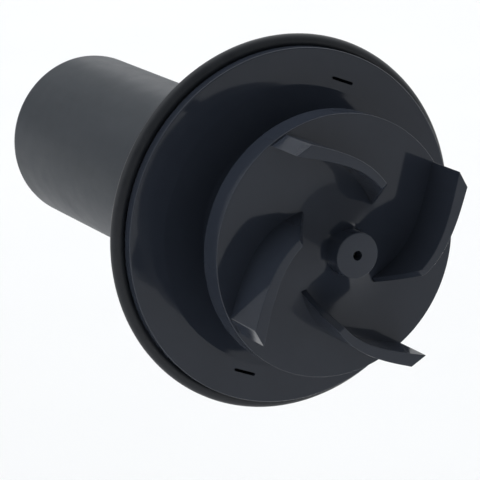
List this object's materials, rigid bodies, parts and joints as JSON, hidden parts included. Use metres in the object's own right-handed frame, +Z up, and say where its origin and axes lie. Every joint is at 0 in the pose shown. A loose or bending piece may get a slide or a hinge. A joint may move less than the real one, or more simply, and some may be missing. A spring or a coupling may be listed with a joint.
{
  "type": "wave maker pump rotor unit",
  "caption": "Wet-rotor pump's running unit: magnet barrel on a ceramic shaft, round sealing cover with an O-ring, and an open vaned impeller driven through a free-start clutch.",
  "frame": {"origin": "on the shaft axis, in the middle plane of the O-ring on the cover's rim", "axes": "+Y along the shaft from the impeller to the rear bearing, -Y out of the impeller's front, +Z up, +X to the right when facing along +Y"},
  "size_m": [0.075, 0.1353, 0.075],
  "materials": {
    "cover_gloss_black": "glossy black moulded plastic",
    "impeller_gloss_black": "glossy black moulded plastic",
    "barrel_satin_black": "satin charcoal moulded plastic",
    "seal_rubber": "matt black rubber",
    "bearing_ceramic": "polished off-white ceramic",
    "filled_plastic": "dull dark grey filled plastic",
    "magnet_ferrite": "dull dark grey sintered magnet",
    "washer_plastic": "waxy off-white low-friction plastic",
    "spring_steel": "bright spring steel"
  },
  "bodies": {
    "fixed_set": {"cover_plate": "cover_gloss_black", "rim_o_ring": "seal_rubber", "front_bearing_cup": "seal_rubber", "front_bearing_bush": "bearing_ceramic", "bearing_retainer": "filled_plastic", "rear_bearing_bush": "bearing_ceramic", "rear_bearing_cup": "seal_rubber"},
    "rotor": {"rotor_shaft": "bearing_ceramic", "core_sleeve": "filled_plastic", "ring_magnet": "magnet_ferrite", "magnet_end_pad": "seal_rubber", "rotor_barrel": "barrel_satin_black", "rotor_front_cap": "barrel_satin_black", "front_thrust_washer": "washer_plastic", "rear_thrust_washer": "washer_plastic", "drive_dog": "filled_plastic", "dog_buffer": "seal_rubber", "dog_clip": "spring_steel"},
    "impeller": {"impeller": "impeller_gloss_black", "clutch_cover": "filled_plastic"}
  },
  "joints": [
    {"name": "rotor_spin", "type": "hinge", "parent": "fixed_set", "child": "rotor", "pos_m": [0, 0, 0], "axis": [0, 1, 0], "continuous": true},
    {"name": "clutch_play", "type": "hinge", "parent": "rotor", "child": "impeller", "pos_m": [0, 0, 0], "axis": [0, 1, 0], "range_deg": [-135, 135]}
  ]
}
